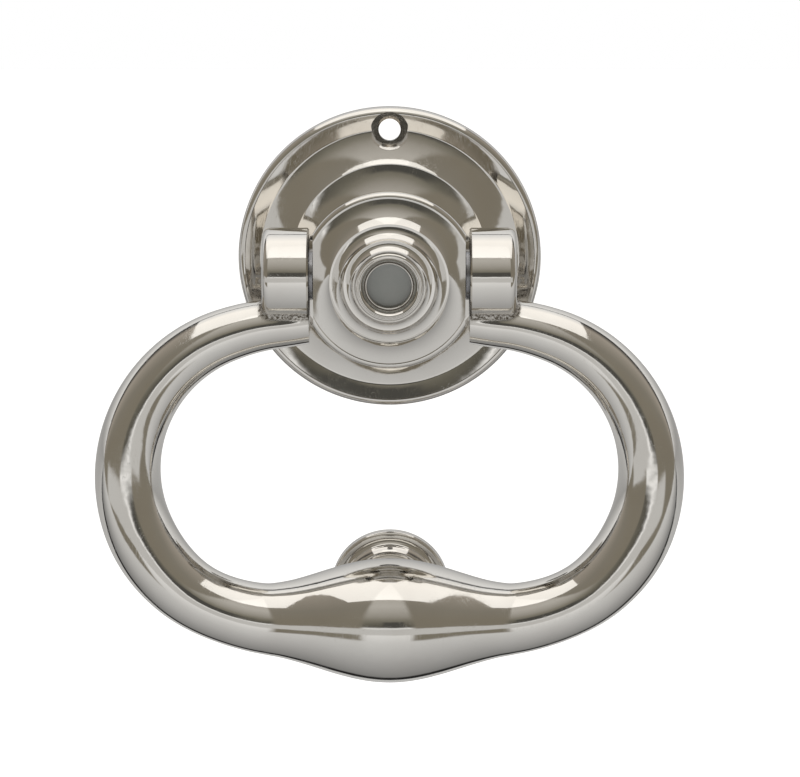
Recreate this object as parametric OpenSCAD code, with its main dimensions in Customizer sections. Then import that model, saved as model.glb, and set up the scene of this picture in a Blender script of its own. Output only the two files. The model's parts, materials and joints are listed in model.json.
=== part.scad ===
// Ring door knocker with a viewer through its middle.
// The door's face is the plane y = 0. The knocker's front looks along -Y, and +Z is up.
// The origin is the centre of the rose, on the door's face. Millimetres.
// Turned pieces are drawn as [radius, height above the door] and revolved about the Y axis.

/* [Rose] */
// Diameter of the round back plate
rose_d = 76; // [75:0.5:80]
// Height of the plate's rounded rim above the door
rim_h = 4.3; // [4.1:0.1:4.6]
// Radius of the valley between the rim and the first step
valley_r = 32.5; // [32:0.1:33]
// Radius of the edge between the plate's two steps
step_r = 24.4; // [23.5:0.1:25]
// Height of that edge above the door
step_h = 6.2; // [5.8:0.1:6.6]
// Height of the fixing screw's hole above the rose's centre
screw_up = 32.2; // [31.6:0.1:32.4]
// Diameter of the fixing screw's hole
screw_d = 5.5; // [5:0.1:5.8]
// Diameter of the countersink
sink_d = 9.6; // [9:0.1:10]

/* [Boss] */
// Largest diameter of the boss, at its front edge
boss_d = 43.2; // [42.4:0.2:44]
// Distance between the flats beside the knuckles
flats_w = 36.6; // [36:0.2:37.2]
// Height of the boss's front edge above the door
boss_h = 32.4; // [31:0.1:33]
// Diameter of the neck behind the front edge
neck_d = 30; // [29.5:0.1:30.5]

/* [Ring] */
// Height of the pivots above the door
pivot_h = 24; // [23.5:0.1:24.5]
// How far the ring leans out from the door at rest, in degrees
lean = 7.5; // [7:0.5:9]
// Distance from the pivots down to the middle of the ring's top bars
arm_drop = 12.9; // [12.6:0.1:13.2]
// Radius of the ring's round ends, at the middle of the bar
bend_r = 36.3; // [36:0.1:36.6]
// Sideways distance from the middle to the centre of each round end
bend_x = 27.9; // [27:0.1:29]
// Diameter of the bar at the knuckles
bar_top_d = 11.6; // [11:0.1:12.4]
// Diameter of the bar beside the striking lobe
bar_low_d = 18.9; // [17:0.1:20]
// Largest diameter of the striking lobe
lobe_d = 31; // [29:0.2:31]
// Half length of the striking lobe
lobe_l = 32; // [28:1:34]
// How much the bar's radius shrinks between the lobe and the bends
waist = 0.95; // [0:0.05:1.2]

/* [Knuckles and pivots] */
// Diameter of the knuckles
knuckle_d = 22.6; // [22:0.1:23]
// Length of each knuckle
knuckle_l = 11.2; // [10.8:0.1:11.6]
// Gap between the boss and each knuckle
knuckle_gap = 1.2; // [1.1:0.1:1.5]
// Diameter of the pivot pins
pin_d = 6; // [5.5:0.1:6.5]

/* [Viewer] */
// Diameter of the viewer's barrel
barrel_d = 14; // [14:0.1:14.2]
// Diameter of the visible part of the front lens
lens_d = 10.7; // [10:0.1:11]
// Height of the viewer's lip above the door
lip_h = 40.9; // [40.6:0.1:41.4]
// Thickness of the door that the viewer is set for
door_t = 44; // [38:1:52]

/* [Strike] */
// Diameter of the strike button's flange
strike_d = 30.4; // [30:0.2:31]
// Height of the strike button above the door
strike_h = 19.2; // [18.6:0.1:19.2]
// Distance of the button below the rose's centre
strike_drop = 87; // [86:0.5:88]

/* [Hidden] */
$fn = 96;

nickel = [0.72, 0.69, 0.64];
steel = [0.62, 0.63, 0.65];
brass = [0.78, 0.62, 0.32];
nylon = [0.16, 0.16, 0.17];
clear = [0.55, 0.62, 0.6];

// gap left between two pieces that are pressed, screwed or clamped together
fit = 0.02;
// gap left between two pieces that turn on each other
run = 0.05;

// rose
rose_r = rose_d / 2;
rim_r = 1.6;                     // radius of the rounded rim
dish_r = rose_r - rim_r - 0.15;  // outer edge of the dish inside the rim
dish_h = rim_h - 0.35;
valley_h = rim_h - 1.2;
foot_r = 17;                     // radius of the boss's foot, which sits in the rose
foot_h = 8.3;                    // height of the rose where it meets the foot
seat_h = 5.6;                    // floor of the recess for the foot
hole_r = 10.5;                   // centre hole

// boss
boss_r = boss_d / 2;
neck_r = neck_d / 2;
edge_r = 1.2;                    // rounding of the front edge
nose_r = 14.4;                   // first step of the nose
nose_h = 36;
step2_r = 10.9;                  // second step of the nose
step2_h = 38.3;
head_r = 8.15;                   // radius of the viewer's head in the nose
head_h = 36.6;                   // floor of the recess for the head
screw_ring_r = 12.6;             // circle of the three screws from the back
screw_r = 1.5;

// ring
end_x = flats_w / 2 + knuckle_gap;
bar_len = bend_x + PI * bend_r + bend_x - end_x;
ring_steps = 76;
ring_sides = 20;
arm_lift = 1.7;                  // rise of the bar's ends
lift_l = 20;                     // length of bar that this rise takes
waist_u = 42;                    // middle of the waist, measured along the bar from the lobe
waist_l = 30;                    // half length of the waist
corner_in = 0.45;                // how far the lower corners are drawn in
corner_u = 38;
corner_l = 16;
bush_r = 4.2;
bore_l = 9;

// viewer, where y grows away from the front
barrel_r = barrel_d / 2;
tube_r = 6.25;                   // bore of the barrel behind the lens seat
lens_r = tube_r - fit;
lens_h = 37.5;                   // height of the front lens's face
barrel_back = 26;
sleeve_r = tube_r - 2 * fit;
sleeve_in = 5.2;
flange_r = 10.5;
washer_t = 0.6;

// points of a curve that leaves [r0, h0] with k of its mean slope and steepens to [r1, h1]
function cove(r0, h0, r1, h1, k, n, steps = 10) =
    [for (i = [0 : steps]) let (t = i / steps)
        [r0 + (r1 - r0) * t, h0 + (h1 - h0) * (k * t + (1 - k) * pow(t, n))]];

// points of an arc about [cr, ch], from angle a0 to a1
function arc(cr, ch, r, a0, a1, steps = 6) =
    [for (i = [0 : steps]) let (a = a0 + (a1 - a0) * i / steps)
        [cr + r * cos(a), ch + r * sin(a)]];

// smooth step from 0 to 1
function ease(t) = t * t * (3 - 2 * t);

// revolves a profile of [radius, height above the door] about the Y axis
module turned(points) {
    rotate([90, 0, 0]) rotate_extrude() polygon(points);
}

// solid round bar about the Y axis, between two heights above the door
module along_y(r, h0, h1) {
    translate([0, -h0, 0]) rotate([90, 0, 0]) cylinder(r = r, h = h1 - h0);
}

// tube about the Y axis, between two heights above the door
module tube_y(r_out, r_in, h0, h1) {
    turned([[r_in, h0], [r_out, h0], [r_out, h1], [r_in, h1]]);
}

// solid round bar along X, from x0 to x1
module along_x(r, x0, x1) {
    translate([x0, 0, 0]) rotate([0, 90, 0]) cylinder(r = r, h = x1 - x0);
}

// copies its child to the left side when side is -1
module on_side(side) {
    if (side < 0) mirror([1, 0, 0]) children();
    else children();
}

// puts a child, drawn about the pivots' axis, where the ring hangs
module hung() {
    translate([0, -pivot_h, 0]) rotate([-lean, 0, 0]) children();
}

module rose() {
    color(nickel) difference() {
        turned(concat(
            [[hole_r + fit, 0], [rose_r - 0.5, 0], [rose_r, 0.5]],
            arc(rose_r - rim_r, rim_h - rim_r, rim_r, 0, 90),
            cove(dish_r, dish_h, valley_r, valley_h, 0.8, 2, 4),
            cove(valley_r - 0.1, valley_h, step_r, step_h, 0.5, 2.2),
            cove(step_r - 0.1, step_h, foot_r + fit, foot_h, 0.6, 2.5),
            [[foot_r + fit, seat_h], [hole_r + fit, seat_h]]));
        translate([0, 0, screw_up]) {
            along_y(screw_d / 2, -1, 9);
            countersink();
        }
        for (a = [90, 210, 330]) boss_screw_at(a) {
            along_y(screw_r + 0.2, -1, 9);
            turned([[0, -1], [3.9, -1], [3, 0], [0, 3]]);
        }
    }
}

// the conical mouth of the fixing screw's hole
module countersink() {
    mouth = valley_h + 0.4;
    slope = (sink_d - screw_d) / 2;
    turned([[0, mouth - slope], [screw_d / 2, mouth - slope], [sink_d / 2, mouth],
            [sink_d / 2, 9], [0, 9]]);
}

module boss_screw_at(a) {
    translate([screw_ring_r * cos(a), 0, screw_ring_r * sin(a)]) children();
}

module boss() {
    waist_h = 13.5;
    color(nickel) difference() {
        turned(concat(
            [[0, seat_h - 1.2], [hole_r, seat_h - 1.2], [hole_r, seat_h + fit],
             [foot_r, seat_h + fit], [foot_r, foot_h]],
            [for (i = [1 : 6]) let (t = i / 6)
                [foot_r + (neck_r - foot_r) * sin(90 * t), foot_h + 3 * (1 - cos(90 * t))]],
            [for (i = [0 : 12]) let (t = i / 12)
                [neck_r + (boss_r - neck_r) * ease(pow(t, 0.72)),
                 waist_h - 1 + (boss_h - waist_h + 1) * t]],
            arc(boss_r - edge_r, boss_h, edge_r, 10, 90),
            cove(boss_r - edge_r - 0.3, boss_h + edge_r - 0.1, nose_r, nose_h, 0.42, 3),
            cove(nose_r - 0.5, nose_h - 0.1, step2_r, step2_h, 0.2, 3.5),
            cove(step2_r - 0.3, step2_h, head_r + 0.5, step2_h + 1.3, 0.1, 3),
            [[head_r + fit, step2_h + 1.3], [0, step2_h + 1.3]]));
        along_y(barrel_r + fit, 0, 45);
        along_y(head_r + fit, head_h, 45);
        translate([0, -pivot_h, 0]) along_x(pin_d / 2 + fit, -30, 30);
        for (side = [-1, 1]) on_side(side) {
            translate([flats_w / 2, -45, -30]) cube([10, 45, 60]);
        }
        for (a = [90, 210, 330]) boss_screw_at(a) along_y(screw_r + fit, 0, 13.5);
    }
}

module boss_screws() {
    color(steel) for (a = [90, 210, 330]) boss_screw_at(a) {
        difference() {
            turned([[0, 0.3], [2.6, 0.3], [screw_r, 1.4], [screw_r, 12.4],
                    [1, 13], [0, 13]]);
            translate([-0.4, -0.9, -3]) cube([0.8, 1.2, 6]);
        }
    }
}

// place and radius of the ring's bar, a distance u along it from the lobe's middle
function bar_point(u) =
    let (s = sign(u), d = abs(u), half = PI * bend_r, a = (d - bend_x) / half * 180,
         r = bend_r - corner_in * hump(u, corner_u, corner_l))
    d < bend_x ? [u, -arm_drop - bend_r - r]
    : d < bend_x + half
        ? [s * (bend_x + r * sin(a)), -arm_drop - bend_r - r * cos(a) + lift(d)]
    : [s * (2 * bend_x + half - d), -arm_drop + lift(d)];

// smooth hump from 0 to 1 and back, of the given half length, on each side of the lobe
function hump(u, middle, half_l) =
    let (d = abs(abs(u) - middle))
    d < half_l ? (1 + cos(180 * d / half_l)) / 2 : 0;

// how far the bar's last stretch curves up towards the pivots
function lift(d) = arm_lift * pow(max(0, (d - bar_len + lift_l) / lift_l), 1.6);

function bar_angle(u) =
    let (d = abs(u), a = min(180, max(0, (d - bend_x) / (PI * bend_r) * 180)))
    u < 0 ? -a : a;

function bar_radius(u) =
    let (w = max(0, (abs(u) - bend_x) / (bar_len - bend_x)),
         bar = bar_low_d / 2 - (bar_low_d - bar_top_d) / 2 * pow(w, 1.3))
    bar + (lobe_d - bar_low_d) / 2 * hump(u, 0, lobe_l) - waist * hump(u, waist_u, waist_l);

// the bar, as round sections threaded along its middle line
module bar() {
    us = [for (i = [0 : ring_steps]) bar_len * (2 * i / ring_steps - 1)];
    points = [for (u = us)
        let (c = bar_point(u), a = bar_angle(u), r = bar_radius(u))
        for (j = [0 : ring_sides - 1]) let (b = 360 * j / ring_sides)
            [c[0] - sin(a) * r * cos(b), r * sin(b), c[1] + cos(a) * r * cos(b)]];
    faces = [for (i = [0 : ring_steps - 1]) for (j = [0 : ring_sides - 1])
        let (k = (j + 1) % ring_sides, a = i * ring_sides, b = a + ring_sides)
        [a + j, a + k, b + k, b + j]];
    caps = [[for (j = [ring_sides - 1 : -1 : 0]) j],
            [for (j = [0 : ring_sides - 1]) ring_steps * ring_sides + j]];
    polyhedron(points, concat(faces, caps), convexity = 4);
}

// a knuckle's round body, with its outer end rounded over
module knuckle() {
    r = knuckle_d / 2;
    round_r = 1.8;
    translate([end_x, 0, 0]) rotate([0, 90, 0]) rotate_extrude()
        polygon(concat([[0, 0], [r - 0.4, 0], [r, 0.4]],
                       arc(r - round_r, knuckle_l - round_r, round_r, 0, 90),
                       [[0, knuckle_l]]));
}

module knocker_ring() {
    color(nickel) hung() difference() {
        union() {
            bar();
            for (side = [-1, 1]) on_side(side) knuckle();
        }
        for (side = [-1, 1]) on_side(side) along_x(bush_r, end_x - 1, end_x + bore_l);
    }
}

module pivot_pin(side) {
    color(steel) on_side(side) translate([0, -pivot_h, 0]) {
        along_x(pin_d / 2, barrel_r + 0.4, end_x + bore_l - 0.8);
    }
}

// plain bush with a flange that takes up the gap beside the boss
module pivot_bush(side) {
    color(steel) on_side(side) hung() difference() {
        union() {
            along_x(bush_r - fit, end_x - 0.9, end_x + bore_l - 0.5);
            along_x(bush_r + 2, end_x - 0.9, end_x - fit);
        }
        along_x(pin_d / 2 + run, end_x - 2, end_x + bore_l);
    }
}

module viewer_barrel() {
    seat = lens_d / 2;
    color(nickel) turned(concat(
        [[tube_r, -barrel_back], [barrel_r, -barrel_back], [barrel_r, head_h + fit],
         [head_r, head_h + fit]],
        arc(head_r - 0.5, lip_h - 0.5, 0.5, 0, 90),
        [[7.55, lip_h - 0.15], [7.4, lip_h - 0.15]],
        arc(7.15, lip_h - 0.25, 0.25, 60, 120, 3),
        [[seat + 0.45, lip_h - 1.9], [seat + 0.3, lip_h - 1.75], [seat, lip_h - 2],
         [seat, lens_h + fit], [tube_r, lens_h + fit]]));
}

// round nut with two slots, on the barrel inside the rose
module barrel_nut() {
    color(brass) difference() {
        tube_y(9.8, barrel_r + fit, 0.8, seat_h - 1.2 - fit);
        translate([-12, -2, -1]) cube([24, 2, 2]);
    }
}

// a lens between two heights, hollowed by hollow on its back and crowned by crown in front
module lens(r, h0, h1, hollow, crown) {
    back = [for (i = [0 : 8]) let (t = i / 8) [r * t, h0 + hollow * (1 - t * t)]];
    front = [for (i = [8 : -1 : 0]) let (t = i / 8) [r * t, h1 - crown * t * t]];
    color(clear) turned(concat(back, front));
}

module front_lens() { lens(lens_r, 35.2, lens_h, 1.2, 0); }
module front_spacer() { color("dimgray") tube_y(lens_r, 5.2, 27.4, 35.1); }
module middle_lens() { lens(lens_r, 25, 27.3, 1.2, 0); }
module rear_spacer() { color("dimgray") tube_y(lens_r, 5.2, 14.4, 24.9); }
module field_lens() { lens(lens_r, 11.9, 14.3, -0.6, 0.6); }

module lens_retainer() {
    color(brass) difference() {
        tube_y(lens_r, 4.9, 9.1, 11.3);
        translate([-8, -10.1, -0.5]) cube([16, 1.2, 1]);
    }
}

// flanged tube that screws into the barrel from inside the door
module eyepiece_sleeve() {
    face = -door_t - washer_t;
    color(nickel) difference() {
        turned(concat(
            [[sleeve_in, -8], [sleeve_in, face - 0.4], [5.9, face - 0.4],
             [5.9, face - 2.6], [7.4, face - 2.9]],
            arc(flange_r - 1, face - 1.7, 1, -80, 0),
            [[flange_r, face - fit], [sleeve_r, face - fit], [sleeve_r, -8]]));
        for (a = [0, 90]) rotate([0, a, 0]) {
            translate([-12, door_t + washer_t + 2, -0.9]) cube([24, 2, 1.8]);
        }
    }
}

module eyepiece_lens() {
    lens(5.9 - fit, -door_t - washer_t - 2.2, -door_t - washer_t - 0.5, -0.3, 0.4);
}

module sleeve_washer() {
    color(nylon) tube_y(flange_r - 0.4, barrel_r + 0.1, -door_t - washer_t, -door_t);
}

module strike_button() {
    r = strike_d / 2;
    color(nickel) translate([0, 0, -strike_drop]) difference() {
        turned(concat(
            [[0, 0], [r - 0.3, 0], [r, 0.3]],
            arc(r - 0.9, 1.9, 0.9, 0, 90),
            [[r - 1.6, 2.8], [r - 1.9, 2.6]],
            cove(r - 1.9, 2.6, 11, 4.6, 0.2, 3),
            [[10.6, 4.9], [10.4, 4.7]],
            cove(10.4, 4.7, 6.8, 9.4, 0.1, 3),
            [[6.6, 10.4], [6.6, 12.6]],
            [for (i = [1 : 6]) let (t = i / 6) [6.6 + 2.6 * ease(t), 12.6 + 3.6 * t]],
            arc(7.6, strike_h - 1.7, 1.6, 0, 90),
            [[4, strike_h], [0, strike_h]]));
        along_y(2.5 + fit, -1, 10);
        along_y(3 + fit, -1, 0.6);
    }
}

// double-ended stud: machine thread in the button, wood screw in the door
module strike_stud() {
    color(steel) translate([0, 0, -strike_drop])
        turned([[0, -26], [3, -20], [3, -0.3], [2.5, -0.3], [2.5, 9.4], [2, 9.8], [0, 9.8]]);
}

rose();
boss();
boss_screws();
knocker_ring();
pivot_pin(-1);  // left_pivot_pin
pivot_pin(1);  // right_pivot_pin
pivot_bush(-1);  // left_pivot_bush
pivot_bush(1);  // right_pivot_bush
viewer_barrel();
barrel_nut();
front_lens();
front_spacer();
middle_lens();
rear_spacer();
field_lens();
lens_retainer();
eyepiece_sleeve();
eyepiece_lens();
sleeve_washer();
strike_button();
strike_stud();
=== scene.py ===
import json
import math

import bmesh
import bpy
import numpy as np
from mathutils import Matrix, Vector


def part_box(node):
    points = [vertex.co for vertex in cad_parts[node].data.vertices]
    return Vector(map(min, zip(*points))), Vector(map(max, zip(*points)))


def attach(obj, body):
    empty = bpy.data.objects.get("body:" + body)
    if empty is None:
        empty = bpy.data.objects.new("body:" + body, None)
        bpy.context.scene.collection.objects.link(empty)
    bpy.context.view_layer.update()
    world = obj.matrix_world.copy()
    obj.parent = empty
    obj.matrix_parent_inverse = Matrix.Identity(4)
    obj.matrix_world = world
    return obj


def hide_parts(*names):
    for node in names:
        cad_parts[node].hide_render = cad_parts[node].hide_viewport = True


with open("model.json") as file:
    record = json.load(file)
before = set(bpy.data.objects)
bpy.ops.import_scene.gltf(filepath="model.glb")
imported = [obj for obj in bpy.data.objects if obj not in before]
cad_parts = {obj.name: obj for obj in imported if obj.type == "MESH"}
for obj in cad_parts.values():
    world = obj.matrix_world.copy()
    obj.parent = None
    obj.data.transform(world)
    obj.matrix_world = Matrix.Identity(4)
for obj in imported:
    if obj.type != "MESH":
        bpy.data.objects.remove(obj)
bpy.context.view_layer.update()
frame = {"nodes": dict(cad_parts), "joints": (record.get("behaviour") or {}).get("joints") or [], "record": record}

MM = 0.001


# ---------------------------------------------------------------- camera, light and floor

def make_camera():
    """The camera, in front of the knocker and a little above it."""
    pitch = math.radians(13.56)
    distance = 650 * MM
    target = Vector((2.59, -15.0, -30.8)) * MM
    back = Vector((0, -math.cos(pitch), math.sin(pitch)))
    data = bpy.data.cameras.new("camera")
    data.lens = 117.2
    data.sensor_width = 36
    data.clip_start = 0.05
    data.clip_end = 20
    camera = bpy.data.objects.new("camera", data)
    camera.location = target + distance * back
    camera.rotation_euler = (math.pi / 2 - pitch, 0, 0)
    bpy.context.scene.collection.objects.link(camera)
    bpy.context.scene.camera = camera


def math_node(tree, operation, *inputs):
    """A Math node; each input is a number or another node's output."""
    node = tree.nodes.new("ShaderNodeMath")
    node.operation = operation
    for i, value in enumerate(inputs):
        if isinstance(value, bpy.types.NodeSocket):
            tree.links.new(value, node.inputs[i])
        else:
            node.inputs[i].default_value = value
    return node.outputs[0]


def smooth_range(tree, value, low, high, to_low=0.0, to_high=1.0):
    """A smooth step of value from to_low at low to to_high at high."""
    node = tree.nodes.new("ShaderNodeMapRange")
    node.interpolation_type = "SMOOTHSTEP"
    tree.links.new(value, node.inputs["Value"])
    for name, number in (("From Min", low), ("From Max", high),
                         ("To Min", to_low), ("To Max", to_high)):
        node.inputs[name].default_value = number
    return node.outputs["Result"]


def mix(tree, factor, a, b):
    """Colour a where factor is 0 and b where it is 1."""
    node = tree.nodes.new("ShaderNodeMix")
    node.data_type = "RGBA"
    for socket, value in ((node.inputs[0], factor), (node.inputs[6], a), (node.inputs[7], b)):
        if isinstance(value, bpy.types.NodeSocket):
            tree.links.new(value, socket)
        else:
            socket.default_value = value
    return node.outputs[2]


def ramp(tree, factor, stops):
    """A colour ramp over [position, grey or colour] stops."""
    node = tree.nodes.new("ShaderNodeValToRGB")
    tree.links.new(factor, node.inputs[0])
    elements = node.color_ramp.elements
    while len(elements) < len(stops):
        elements.new(1.0)
    for element, (position, colour) in zip(elements, stops):
        element.position = position
        element.color = (*colour, 1) if isinstance(colour, tuple) else (colour,) * 3 + (1,)
    return node.outputs[0]


def window(tree, angle, low, high, soft):
    """1 where an angle in radians lies between low and high degrees, fading over soft degrees."""
    up = smooth_range(tree, angle, math.radians(low - soft), math.radians(low))
    down = smooth_range(tree, angle, math.radians(high), math.radians(high + soft), 1.0, 0.0)
    return math_node(tree, "MULTIPLY", up, down)


def turn(degrees):
    """Where an angle over the horizon lies on a ramp that runs from -180 to 180 degrees."""
    return (degrees + 180) / 360


def make_room():
    """A pale studio: white to the camera; in reflections a floor, a tan room and a back wall.
    The ramps run along the angle over the horizon, from behind and below to behind and above."""
    world = bpy.data.worlds.new("studio")
    bpy.context.scene.world = world
    world.use_nodes = True
    tree = world.node_tree
    tree.nodes.clear()
    coordinates = tree.nodes.new("ShaderNodeTexCoord")
    split = tree.nodes.new("ShaderNodeSeparateXYZ")
    tree.links.new(coordinates.outputs["Generated"], split.inputs[0])
    x, y, z = split.outputs
    front = math_node(tree, "MULTIPLY", y, -1.0)
    rise = math_node(tree, "ARCTAN2", z, front)
    along = math_node(tree, "MULTIPLY_ADD", rise, 1 / (2 * math.pi), 0.5)
    side = math_node(tree, "ARCTAN2", x, front)
    level = math_node(tree, "ARCSINE", z)
    tan = (0.262, 0.241, 0.202)
    dim = (0.10, 0.095, 0.08)
    far = [(turn(100), (0.42, 0.38, 0.33)), (turn(122), 0.04), (turn(127), 0.04),
           (turn(130), 0.95), (turn(180), 0.42)]
    behind = [(turn(-180), 0.42), (turn(-128), 0.62), (turn(-126), 0.02), (turn(-116), 0.02)]
    middle = ramp(tree, along, behind + [
        (turn(-113), 0.26), (turn(-70), 0.46), (turn(-25), 0.72), (turn(1.2), 1.0),
        (turn(3.5), 1.15), (turn(4.5), dim), (turn(12), (0.17, 0.16, 0.13)),
        (turn(18), (0.25, 0.235, 0.195)), (turn(25), (0.37, 0.35, 0.31)),
        (turn(33), (0.46, 0.44, 0.40)), (turn(44), (0.56, 0.54, 0.50))] + far)
    sides = ramp(tree, along, behind + [
        (turn(-113), 0.26), (turn(-70), 0.46), (turn(-32), 0.66), (turn(-24), 0.70),
        (turn(-21), (0.24, 0.22, 0.18)), (turn(18), (0.25, 0.225, 0.18)), (turn(44), tan)] + far)
    band = window(tree, side, -18, 15, 6)
    room = mix(tree, band, sides, middle)
    strip = math_node(tree, "MULTIPLY", window(tree, side, -64, 42, 8),
                      window(tree, level, -9, 1, 1.5))
    room = mix(tree, strip, room, (0.64, 0.635, 0.625, 1))
    dark = math_node(tree, "MULTIPLY", window(tree, side, -3, 9, 5),
                     window(tree, level, 6, 13, 3))
    room = mix(tree, dark, room, (0.085, 0.083, 0.075, 1))
    path = tree.nodes.new("ShaderNodeLightPath")
    seen = mix(tree, path.outputs["Is Camera Ray"], room, (1, 1, 1, 1))
    background = tree.nodes.new("ShaderNodeBackground")
    tree.links.new(seen, background.inputs["Color"])
    output = tree.nodes.new("ShaderNodeOutputWorld")
    tree.links.new(background.outputs[0], output.inputs["Surface"])


def make_light():
    """One wide softbox over the knocker, which faces down."""
    data = bpy.data.lights.new("overhead", "AREA")
    data.shape = "RECTANGLE"
    data.size = 0.84
    data.size_y = 0.90
    data.energy = 2.1
    light = bpy.data.objects.new("overhead", data)
    light.location = (0, -0.05, 0.6)
    down = Vector((0, 0, -1))
    light.rotation_euler = down.to_track_quat("-Z", "Y").to_euler()
    light.visible_camera = False
    bpy.context.scene.collection.objects.link(light)


def make_floor():
    """A pale floor under the knocker, which nothing reflects."""
    mesh = bpy.data.meshes.new("floor")
    half = 3.0
    level = -0.30
    mesh.from_pydata([(-half, -half, level), (half, -half, level), (half, half, level),
                      (-half, half, level)], [], [(0, 1, 2, 3)])
    floor = bpy.data.objects.new("floor", mesh)
    bpy.context.scene.collection.objects.link(floor)
    material = bpy.data.materials.new("floor")
    material.use_nodes = True
    shader = material.node_tree.nodes["Principled BSDF"]
    shader.inputs["Base Color"].default_value = (0.9, 0.9, 0.9, 1)
    shader.inputs["Roughness"].default_value = 0.8
    shader.inputs["Emission Color"].default_value = (1, 1, 1, 1)
    shader.inputs["Emission Strength"].default_value = 0.8
    mesh.materials.append(material)
    floor.visible_glossy = False


# ---------------------------------------------------------------- turned pieces
# Profiles are [radius, height above the door] in millimetres, as in the CAD model.

def cove(r0, h0, r1, h1, k, n, steps=24):
    """Points of a curve that leaves (r0, h0) with k of its mean slope and steepens to (r1, h1)."""
    points = []
    for i in range(steps + 1):
        t = i / steps
        points.append((r0 + (r1 - r0) * t, h0 + (h1 - h0) * (k * t + (1 - k) * t ** n)))
    return points


def arc(cr, ch, r, a0, a1, steps=10):
    """Points of an arc about (cr, ch), from angle a0 to a1 in degrees."""
    points = []
    for i in range(steps + 1):
        a = math.radians(a0 + (a1 - a0) * i / steps)
        points.append((cr + r * math.cos(a), ch + r * math.sin(a)))
    return points


def ease(t):
    """A smooth step from 0 to 1."""
    return t * t * (3 - 2 * t)


def new_piece(name, bm, material):
    """An object from a bmesh in millimetres."""
    bmesh.ops.recalc_face_normals(bm, faces=bm.faces)
    bmesh.ops.scale(bm, vec=(MM, MM, MM), verts=bm.verts)
    mesh = bpy.data.meshes.new(name)
    bm.to_mesh(mesh)
    bm.free()
    mesh.materials.append(material)
    piece = bpy.data.objects.new(name, mesh)
    bpy.context.scene.collection.objects.link(piece)
    return piece


def turned_mesh(profile, segments):
    """A bmesh of a closed profile revolved about the Y axis."""
    bm = bmesh.new()
    rings = []
    for r, h in profile:
        if r < 1e-6:
            rings.append([bm.verts.new((0, -h, 0))])
            continue
        angles = [2 * math.pi * i / segments for i in range(segments)]
        rings.append([bm.verts.new((r * math.sin(a), -h, r * math.cos(a))) for a in angles])
    for ring, after in zip(rings, rings[1:] + rings[:1]):
        if len(ring) == 1 and len(after) == 1:
            continue
        for i in range(segments):
            j = (i + 1) % segments
            corners = [ring[i % len(ring)], ring[j % len(ring)],
                       after[j % len(after)], after[i % len(after)]]
            bm.faces.new(list(dict.fromkeys(corners)))
    return bm


def turned(name, profile, material, segments):
    """An object whose closed profile is revolved about the Y axis."""
    return new_piece(name, turned_mesh(profile, segments), material)


def rod(name, r, start, end, segments=96):
    """A plain cutter: a round bar between two points."""
    axis = Vector(end) - Vector(start)
    bm = bmesh.new()
    bmesh.ops.create_cone(bm, cap_ends=True, segments=segments, radius1=r, radius2=r,
                          depth=axis.length)
    bmesh.ops.rotate(bm, verts=bm.verts, matrix=axis.to_track_quat("Z", "Y").to_matrix())
    bmesh.ops.translate(bm, verts=bm.verts, vec=(Vector(start) + Vector(end)) / 2)
    return new_piece(name, bm, None)


def block(name, low, high):
    """A plain cutter: a box between two corners."""
    bm = bmesh.new()
    bmesh.ops.create_cube(bm, size=1)
    size = Vector(high) - Vector(low)
    bmesh.ops.scale(bm, vec=size, verts=bm.verts)
    bmesh.ops.translate(bm, verts=bm.verts, vec=(Vector(low) + Vector(high)) / 2)
    return new_piece(name, bm, None)


def combine(piece, others, operation="DIFFERENCE"):
    """Cuts the others out of piece, or joins them to it, and removes them."""
    for other in others:
        modifier = piece.modifiers.new("cut", "BOOLEAN")
        modifier.operation = operation
        modifier.solver = "EXACT"
        modifier.object = other
    evaluated = piece.evaluated_get(bpy.context.evaluated_depsgraph_get())
    mesh = bpy.data.meshes.new_from_object(evaluated)
    piece.modifiers.clear()
    piece.data = mesh
    for other in others:
        bpy.data.objects.remove(other)


def shade(piece, sharp_degrees=24):
    """Smooth shading, with edges sharper than the angle left crisp."""
    mesh = piece.data
    mesh.polygons.foreach_set("use_smooth", [True] * len(mesh.polygons))
    mesh.set_sharp_from_angle(angle=math.radians(sharp_degrees))


def place(piece, body, node):
    """Lets piece stand for a CAD node."""
    shade(piece)
    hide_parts(node)
    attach(piece, body)


PIVOT_H = 24          # height of the pivots above the door
FOOT_H = 8.3          # height at which the rose meets the boss's foot


def screw_ways(r, start_y, end_y):
    """Cutters for the three screws that hold the boss to the rose."""
    ring_r = 12.6
    ways = []
    for degrees in (90, 210, 330):
        a = math.radians(degrees)
        x = ring_r * math.cos(a)
        z = ring_r * math.sin(a)
        ways.append(rod("screw_way", r, (x, start_y, z), (x, end_y, z), 32))
    return ways


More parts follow.
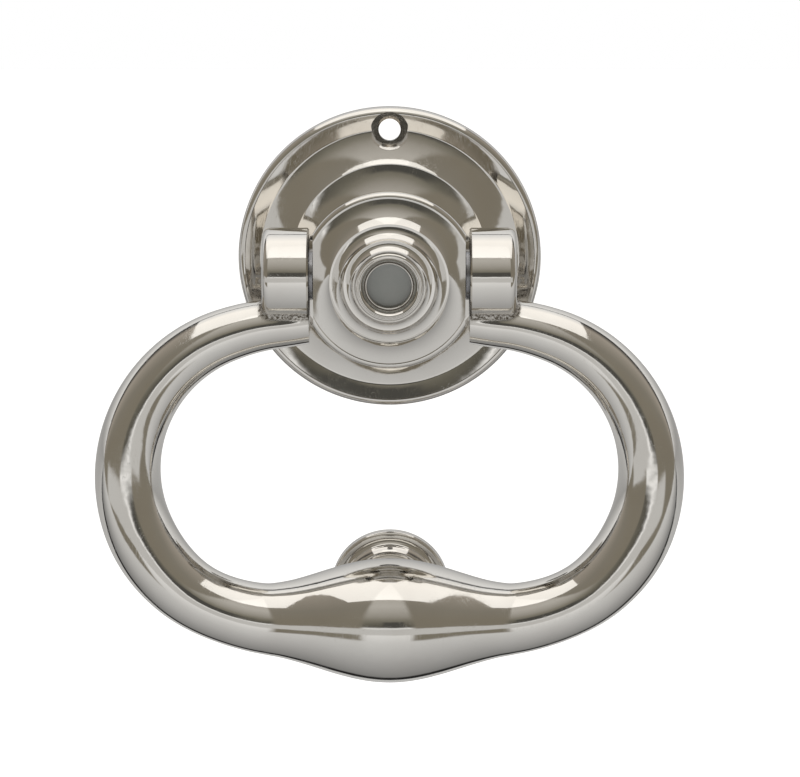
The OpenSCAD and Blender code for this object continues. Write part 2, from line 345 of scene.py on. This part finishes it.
def make_rose(material):
    """The round plate: a rounded rim, a shallow dish, and two coved steps up to the boss."""
    rose_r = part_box("rose")[1].x / MM
    rim_r = 1.6
    rim_h = 4.3
    valley_r = 32.5
    valley_h = rim_h - 1.2
    step_r = 24.4
    step_h = 6.2
    foot_r = 17.02
    seat_h = 5.6
    centre_r = 10.52
    screw_up = 32.2
    screw_r = 2.75
    sink_r = 4.8
    profile = [(centre_r, 0), (rose_r - 0.5, 0), (rose_r, 0.5)]
    profile += arc(rose_r - rim_r, rim_h - rim_r, rim_r, 0, 90, 14)
    profile += cove(rose_r - rim_r - 0.15, rim_h - 0.35, valley_r, valley_h, 0.8, 2, 10)
    profile += cove(valley_r - 0.1, valley_h, step_r, step_h, 0.5, 2.2)
    profile += cove(step_r - 0.1, step_h, foot_r, FOOT_H, 0.6, 2.5)
    profile += [(foot_r, seat_h), (centre_r, seat_h)]
    rose = turned("rose_plate", profile, material, 288)
    mouth_h = valley_h + 0.4
    throat_h = mouth_h - (sink_r - screw_r)
    sink = turned("sink", [(0, throat_h), (screw_r, throat_h), (sink_r, mouth_h),
                           (sink_r, 9), (0, 9)], None, 96)
    sink.location.z = screw_up * MM
    hole = rod("hole", screw_r, (0, 2, screw_up), (0, -5, screw_up))
    combine(rose, [sink, hole] + screw_ways(1.7, 2, -9))
    place(rose, "mounting", "rose")


def make_boss(material):
    """The turned boss: a waisted neck, a wide front edge cut by two flats, and a stepped nose."""
    half_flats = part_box("boss")[1].x / MM
    edge_r = 1.2
    boss_r = 21.6
    boss_h = 32.4
    neck_r = 15
    nose_r = 14.4
    nose_h = 36
    step_r = 10.9
    step_h = 38.3
    head_r = 8.17
    head_h = 36.6
    waist_h = 12.5
    foot_r = 17
    seat_h = 5.62
    spigot_r = 10.5
    spigot_h = 4.4
    barrel_way_r = 7.02
    profile = [(barrel_way_r, spigot_h), (spigot_r, spigot_h), (spigot_r, seat_h),
               (foot_r, seat_h), (foot_r, FOOT_H)]
    for i in range(1, 13):
        a = math.radians(90 * i / 12)
        profile.append((foot_r + (neck_r - foot_r) * math.sin(a),
                        FOOT_H + 3 * (1 - math.cos(a))))
    for i in range(33):
        t = i / 32
        profile.append((neck_r + (boss_r - neck_r) * ease(t ** 0.72),
                        waist_h + (boss_h - waist_h) * t))
    profile += arc(boss_r - edge_r, boss_h, edge_r, 10, 90, 12)
    profile += cove(boss_r - edge_r - 0.3, boss_h + edge_r - 0.1, nose_r, nose_h, 0.42, 3)
    profile += cove(nose_r - 0.5, nose_h - 0.1, step_r, step_h, 0.2, 3.5)
    profile += cove(step_r - 0.3, step_h, head_r + 0.48, step_h + 1.3, 0.1, 3)
    profile += [(head_r, step_h + 1.3), (head_r, head_h), (barrel_way_r, head_h)]
    boss = turned("boss_body", profile, material, 288)
    cutters = [rod("pin_way", 3.02, (-30, -PIVOT_H, 0), (30, -PIVOT_H, 0))]
    cutters.append(block("left_flat", (-30, -45, -30), (-half_flats, 0, 30)))
    cutters.append(block("right_flat", (half_flats, -45, -30), (30, 0, 30)))
    combine(boss, cutters + screw_ways(1.52, 1, -13.5))
    place(boss, "mounting", "boss")


def make_viewer(material):
    """The viewer's barrel, with a rounded lip and a recess for the front lens."""
    lip_h = -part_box("viewer_barrel")[0].y / MM
    back = -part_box("viewer_barrel")[1].y / MM
    tube_r = 6.25
    barrel_r = 7
    head_r = 8.15
    head_h = 36.62
    seat = 5.35
    lens_h = 37.52
    profile = [(tube_r, back), (barrel_r, back), (barrel_r, head_h), (head_r, head_h)]
    profile += arc(head_r - 0.5, lip_h - 0.5, 0.5, 0, 90, 8)
    profile += [(7.55, lip_h - 0.15), (7.4, lip_h - 0.15)]
    profile += arc(7.15, lip_h - 0.25, 0.25, 60, 120, 6)
    profile += cove(6.9, lip_h - 0.3, seat + 0.45, lip_h - 1.9, 0.5, 2, 10)
    profile += arc(seat + 0.2, lip_h - 1.9, 0.22, 30, 150, 8)
    profile += [(seat, lip_h - 2.1), (seat, lens_h), (tube_r, lens_h)]
    barrel = turned("viewer_tube", profile, material, 192)
    place(barrel, "mounting", "viewer_barrel")


def make_strike(material):
    """The strike button: a beaded flange, coves, a waist and a rounded head."""
    low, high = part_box("strike_button")
    r = high.x / MM - 0.002  # keeps the round edge inside the faceted one
    top = -low.y / MM
    centre = (low.z + high.z) / 2
    waist_r = 6.6
    waist_h = 12.6
    profile = [(0, 0), (r - 0.3, 0), (r, 0.3)]
    profile += arc(r - 0.9, 1.9, 0.9, 0, 90, 10)
    profile += [(r - 1.6, 2.8), (r - 1.9, 2.6)]
    profile += cove(r - 1.9, 2.6, 11, 4.6, 0.2, 3)
    profile += [(10.6, 4.9), (10.4, 4.7)]
    profile += cove(10.4, 4.7, 6.8, 9.4, 0.1, 3)[1:]
    profile += [(waist_r, 10.4), (waist_r, waist_h)]
    profile += [(waist_r + 2.6 * ease(i / 16), waist_h + 3.6 * i / 16) for i in range(1, 17)]
    profile += arc(7.6, top - 1.7, 1.6, 0, 90, 12)
    profile += [(4, top), (0, top)]
    button = turned("strike_head", profile, material, 192)
    button.location.z = centre
    stud_way = rod("stud_way", 2.52, (0, 1, 0), (0, -10, 0), 64)
    stud_way.location.z = centre
    bpy.context.view_layer.update()
    combine(button, [stud_way])
    place(button, "mounting", "strike_button")


# ---------------------------------------------------------------- ring
# u is a distance along the bar's middle line, from the lobe's middle. The bar's radii are a
# little under the CAD model's, so that its round sections stay inside the faceted ones' box.

END_X = 19.5          # inner faces of the knuckles
ARM_DROP = 12.9       # pivots down to the middle of the bar's top stretches
BEND_R = 36.3         # radius of the ring's round ends
BEND_X = 27.9         # sideways distance to their centres
HALF_BEND = math.pi * BEND_R
BAR_LEN = BEND_X + HALF_BEND + BEND_X - END_X
ARM_LIFT = 1.7        # rise of the bar's ends, over a length of LIFT_L
LIFT_L = 20.0
TOP_R = 5.8           # radius of the bar at the knuckles
LOW_R = 9.42          # radius beside the lobe
LOBE_R = 15.36        # the striking lobe, and its half length
LOBE_L = 32.0
WAIST = 0.95          # thinner stretch beside the lobe: depth, middle and half length
WAIST_U = 42.0
WAIST_L = 30.0
CORNER_IN = 0.45      # how far the lower corners are drawn in: depth, middle and half length
CORNER_U = 38.0
CORNER_L = 16.0
KNUCKLE_R = 11.3
KNUCKLE_L = 11.2
KNUCKLE_ROUND = 1.8
BUSH_R = 4.2
BORE_L = 9
LEAN = -7.5           # the ring's turn about X at rest, in degrees


def hump(u, middle, half_l):
    """A smooth hump from 0 to 1 and back, on each side of the lobe."""
    d = abs(abs(u) - middle)
    return (1 + math.cos(math.pi * d / half_l)) / 2 if d < half_l else 0.0


def bar_point(u):
    """Middle of the bar, a distance u along it from the lobe's middle, in the ring's plane."""
    s = -1 if u < 0 else 1
    d = abs(u)
    r = BEND_R - CORNER_IN * hump(u, CORNER_U, CORNER_L)
    if d < BEND_X:
        return u, -ARM_DROP - BEND_R - r
    lift = ARM_LIFT * max(0.0, (d - BAR_LEN + LIFT_L) / LIFT_L) ** 1.6
    if d < BEND_X + HALF_BEND:
        a = (d - BEND_X) / BEND_R
        return s * (BEND_X + r * math.sin(a)), -ARM_DROP - BEND_R - r * math.cos(a) + lift
    return s * (2 * BEND_X + HALF_BEND - d), -ARM_DROP + lift


def bar_angle(u):
    """How far the bar has turned at u, in radians."""
    a = min(math.pi, max(0.0, (abs(u) - BEND_X) / BEND_R))
    return -a if u < 0 else a


def bar_radius(u):
    """Radius of the bar at u."""
    w = max(0.0, (abs(u) - BEND_X) / (BAR_LEN - BEND_X))
    bar = LOW_R - (LOW_R - TOP_R) * w ** 1.3
    return bar + (LOBE_R - LOW_R) * hump(u, 0, LOBE_L) - WAIST * hump(u, WAIST_U, WAIST_L)


def bar_mesh(steps=420, sides=72):
    """The round bar, as sections threaded along its middle line."""
    bm = bmesh.new()
    sections = []
    for i in range(steps + 1):
        u = BAR_LEN * (2 * i / steps - 1)
        x, z = bar_point(u)
        a = bar_angle(u)
        r = bar_radius(u)
        section = []
        for j in range(sides):
            b = 2 * math.pi * j / sides
            section.append(bm.verts.new((x - math.sin(a) * r * math.cos(b), r * math.sin(b),
                                         z + math.cos(a) * r * math.cos(b))))
        sections.append(section)
    for one, two in zip(sections, sections[1:]):
        for j in range(sides):
            k = (j + 1) % sides
            bm.faces.new((one[j], one[k], two[k], two[j]))
    bm.faces.new(sections[0])
    bm.faces.new(sections[-1])
    return bm


def knuckle(side):
    """A knuckle's round body, with its outer end rounded over and a fine mesh for the fillet."""
    cell = 0.4
    profile = [(0, 0)]
    profile += [(KNUCKLE_R - 17 * cell + cell * i, 0) for i in range(17)]
    profile += [(KNUCKLE_R, cell + cell * i) for i in range(22)]
    profile += arc(KNUCKLE_R - KNUCKLE_ROUND, KNUCKLE_L - KNUCKLE_ROUND, KNUCKLE_ROUND, 0, 90, 10)
    profile += [(KNUCKLE_R - KNUCKLE_ROUND - cell * i, KNUCKLE_L) for i in range(1, 15)]
    profile += [(0, KNUCKLE_L)]
    bm = turned_mesh(profile, 180)
    for vertex in bm.verts:
        x, y, z = vertex.co
        vertex.co = (side * (END_X - y), x, z)
    return new_piece("knuckle", bm, None)


def blend_knuckles(mesh, fillet=1.3):
    """Fills the crease between the bar and the knuckles with a small fillet.
    Returns how deep in the crease each vertex lies, from 0 to 1."""
    count = 900
    side_reach = 42
    down_reach = -26
    buried = -0.3
    swell = 0.3
    line = []
    for i in range(count + 1):
        u = (BAR_LEN + 3) * (2 * i / count - 1)
        line.append((*bar_point(u), bar_radius(min(BAR_LEN, abs(u)))))
    line = np.array(line)
    co = np.zeros(len(mesh.vertices) * 3)
    mesh.vertices.foreach_get("co", co)
    co = co.reshape(-1, 3) / MM
    depth = np.zeros(len(co))
    near = np.where((np.abs(co[:, 0]) < side_reach) & (co[:, 2] > down_reach))[0]
    for i in near:
        p = co[i]
        gap = (line[:, 0] - p[0]) ** 2 + (line[:, 1] - p[2]) ** 2
        spot = line[int(np.argmin(gap))]
        away = np.array([p[0] - spot[0], p[1], p[2] - spot[1]])
        bar_gap = np.linalg.norm(away) - spot[2]
        rho = math.hypot(p[1], p[2])
        qx = abs(p[0]) - (END_X + KNUCKLE_L - KNUCKLE_ROUND)
        qr = rho - (KNUCKLE_R - KNUCKLE_ROUND)
        outer = np.array([max(qx, 0.0), max(qr, 0.0)])
        knuckle_gap = np.linalg.norm(outer) + min(max(qx, qr), 0.0) - KNUCKLE_ROUND
        close = max(fillet - abs(bar_gap - knuckle_gap), 0.0) / fillet
        if close <= 0 or max(bar_gap, knuckle_gap) < buried:
            continue
        radial = np.array([0.0, p[1], p[2]]) / max(rho, 1e-6)
        along = np.array([math.copysign(1.0, p[0]), 0.0, 0.0])
        if np.linalg.norm(outer) > 1e-6:
            out = (along * outer[0] + radial * outer[1]) / np.linalg.norm(outer)
        else:
            out = along if qx > qr else radial
        push = away / max(np.linalg.norm(away), 1e-6) + out
        if abs(p[0]) < END_X + 0.02:
            push[0] = 0.0
        push /= max(np.linalg.norm(push), 1e-6)
        co[i] = p + push * close * close * fillet * swell
        depth[i] = close
    mesh.vertices.foreach_set("co", (co * MM).ravel())
    return depth


def bush_way(side):
    """A cutter for the hole that holds a knuckle's bush."""
    return rod("bush_way", BUSH_R, (side * (END_X - 1), 0, 0), (side * (END_X + BORE_L), 0, 0))


def make_ring(material):
    """The swinging ring: a round bar with a fat lobe below, and a knuckle on each end."""
    ring = new_piece("ring", bar_mesh(), material)
    combine(ring, [knuckle(-1), knuckle(1)], "UNION")
    depth = blend_knuckles(ring.data)
    mark = ring.data.attributes.new("crease", "FLOAT", "POINT")
    mark.data.foreach_set("value", depth)
    combine(ring, [bush_way(-1), bush_way(1)])
    joint = frame["joints"][0]
    lean = Matrix.Rotation(math.radians(LEAN), 4, "X")
    ring.data.transform(Matrix.Translation(joint["pos_m"]) @ lean)
    place(ring, "knocker", "knocker_ring")


# ---------------------------------------------------------------- materials

def new_material(name):
    """A material, its node tree and its Principled shader."""
    material = bpy.data.materials.new(name)
    material.use_nodes = True
    tree = material.node_tree
    return material, tree, tree.nodes["Principled BSDF"]


def noise(tree, scale, detail=3.0, roughness=0.55):
    """Noise in object space, with scale in waves per metre."""
    coordinates = tree.nodes.new("ShaderNodeTexCoord")
    node = tree.nodes.new("ShaderNodeTexNoise")
    node.inputs["Scale"].default_value = scale
    node.inputs["Detail"].default_value = detail
    node.inputs["Roughness"].default_value = roughness
    tree.links.new(coordinates.outputs["Object"], node.inputs["Vector"])
    return node.outputs["Fac"]


def bump(tree, shader, height, strength, distance):
    """Bumps a shader's surface by height, with distance in metres."""
    node = tree.nodes.new("ShaderNodeBump")
    node.inputs["Strength"].default_value = strength
    node.inputs["Distance"].default_value = distance
    tree.links.new(height, node.inputs["Height"])
    tree.links.new(node.outputs[0], shader.inputs["Normal"])


def hairlines(tree, stretch):
    """Thin wiping scratches in broken groups, 1 on a scratch and 0 elsewhere."""
    coordinates = tree.nodes.new("ShaderNodeTexCoord")
    mapping = tree.nodes.new("ShaderNodeMapping")
    mapping.inputs["Scale"].default_value = stretch
    mapping.inputs["Rotation"].default_value = (0.3, 0.5, 0.4)
    tree.links.new(coordinates.outputs["Object"], mapping.inputs["Vector"])
    node = tree.nodes.new("ShaderNodeTexNoise")
    node.inputs["Scale"].default_value = 1.0
    node.inputs["Detail"].default_value = 1.0
    tree.links.new(mapping.outputs[0], node.inputs["Vector"])
    middle = math_node(tree, "SUBTRACT", node.outputs["Fac"], 0.5)
    line = smooth_range(tree, math_node(tree, "ABSOLUTE", middle), 0.0, 0.012, 1.0, 0.0)
    patches = smooth_range(tree, noise(tree, 90, 2), 0.45, 0.62)
    return math_node(tree, "MULTIPLY", line, patches)


def groove_shade(tree):
    """Painted shade: a mask that is 0 on open faces, rising in channels and gaps narrower than about 3 mm."""
    node = tree.nodes.new("ShaderNodeAmbientOcclusion")
    node.samples = 6
    node.inputs["Distance"].default_value = 0.003
    return smooth_range(tree, node.outputs["AO"], 0.3, 0.85, 0.85, 0.0)


def nickel():
    """Polished nickel plate: warm and bright, with polishing waves, hazier patches, fine scratches,
    old polish left in the creases beside the knuckles, and painted shade in narrow recesses and gaps."""
    material, tree, shader = new_material("nickel")
    cloud = noise(tree, 60, 4)
    haze = noise(tree, 420, 5, 0.6)
    grain = noise(tree, 1500, 3, 0.6)
    crease = tree.nodes.new("ShaderNodeAttribute")
    crease.attribute_name = "crease"
    deep = smooth_range(tree, crease.outputs["Fac"], 0.0, 0.5)
    grime_and_shade = math_node(tree, "MULTIPLY", deep, smooth_range(tree, grain, 0.4, 0.6, 0.35, 1.0))
    # Painted shade from the occlusion mask, joined with the old polish in the knuckle creases.
    grime_and_shade = math_node(tree, "MAXIMUM", grime_and_shade, groove_shade(tree))
    plate = ramp(tree, cloud, [(0.3, (0.705, 0.68, 0.64)), (0.7, (0.755, 0.735, 0.695))])
    tree.links.new(mix(tree, grime_and_shade, plate, (0.09, 0.075, 0.055, 1)), shader.inputs["Base Color"])
    tree.links.new(math_node(tree, "MULTIPLY_ADD", grime_and_shade, -0.7, 1.0), shader.inputs["Metallic"])
    dull = math_node(tree, "MULTIPLY", cloud, haze)
    rough = smooth_range(tree, dull, 0.12, 0.45, 0.04, 0.11)
    lines = hairlines(tree, (1600, 1600, 70))
    rough = math_node(tree, "MULTIPLY_ADD", lines, 0.14, rough)
    rough = math_node(tree, "MULTIPLY_ADD", grime_and_shade, 0.5, rough)
    tree.links.new(rough, shader.inputs["Roughness"])
    waves = math_node(tree, "MULTIPLY_ADD", lines, -0.12, noise(tree, 180, 2))
    waves = math_node(tree, "MULTIPLY_ADD", math_node(tree, "MULTIPLY", grime_and_shade, grain), 1.5, waves)
    bump(tree, shader, waves, 0.12, 0.0002)
    return material


def steel():
    """Zinc-plated steel with a fine turned grain."""
    material, tree, shader = new_material("steel")
    shader.inputs["Metallic"].default_value = 1.0
    cloud = noise(tree, 300, 4)
    colour = ramp(tree, cloud, [(0.3, (0.34, 0.34, 0.35)), (0.7, (0.48, 0.48, 0.49))])
    tree.links.new(colour, shader.inputs["Base Color"])
    tree.links.new(smooth_range(tree, cloud, 0.3, 0.7, 0.22, 0.38), shader.inputs["Roughness"])
    bump(tree, shader, noise(tree, 2500, 2), 0.2, 0.00005)
    return material


def brass():
    """Turned brass, unplated and a little tarnished."""
    material, tree, shader = new_material("brass")
    shader.inputs["Metallic"].default_value = 1.0
    cloud = noise(tree, 250, 4)
    colour = ramp(tree, cloud, [(0.3, (0.55, 0.40, 0.16)), (0.7, (0.78, 0.60, 0.30))])
    tree.links.new(colour, shader.inputs["Base Color"])
    tree.links.new(smooth_range(tree, cloud, 0.3, 0.7, 0.2, 0.4), shader.inputs["Roughness"])
    bump(tree, shader, noise(tree, 2500, 2), 0.2, 0.00005)
    return material


def nylon():
    """Black moulded nylon."""
    material, tree, shader = new_material("nylon")
    grain = noise(tree, 1800, 3)
    colour = ramp(tree, grain, [(0.35, (0.012, 0.012, 0.013)), (0.65, (0.03, 0.03, 0.032))])
    tree.links.new(colour, shader.inputs["Base Color"])
    tree.links.new(smooth_range(tree, grain, 0.3, 0.7, 0.4, 0.6), shader.inputs["Roughness"])
    bump(tree, shader, grain, 0.3, 0.00005)
    return material


def glass():
    """The viewer's lenses, whose grey-green colour is painted light standing for light seen through the viewer."""
    material, tree, shader = new_material("glass")
    cloud = noise(tree, 120, 3)
    # Painted light: the grey-green base colour stands for light coming through the viewer's optics.
    colour = ramp(tree, cloud, [(0.3, (0.21, 0.225, 0.215)), (0.7, (0.255, 0.26, 0.25))])
    tree.links.new(colour, shader.inputs["Base Color"])
    shader.inputs["IOR"].default_value = 1.52
    tree.links.new(smooth_range(tree, cloud, 0.3, 0.7, 0.03, 0.1), shader.inputs["Roughness"])
    return material


def paint_nodes():
    """Gives each CAD node the material of its slot in the record, and returns the materials."""
    made = {"nickel": nickel(), "steel": steel(), "brass": brass(), "nylon": nylon(),
            "glass": glass()}
    for part in frame["record"]["subparts"]:
        mesh = frame["nodes"][part["node"]].data
        mesh.materials.clear()
        mesh.materials.append(made[part["material_slot"]])
    return made


make_camera()
make_room()
make_light()
make_floor()
materials = paint_nodes()
make_rose(materials["nickel"])
make_boss(materials["nickel"])
make_viewer(materials["nickel"])
make_strike(materials["nickel"])
make_ring(materials["nickel"])
bpy.context.scene.view_settings.view_transform = "Standard"
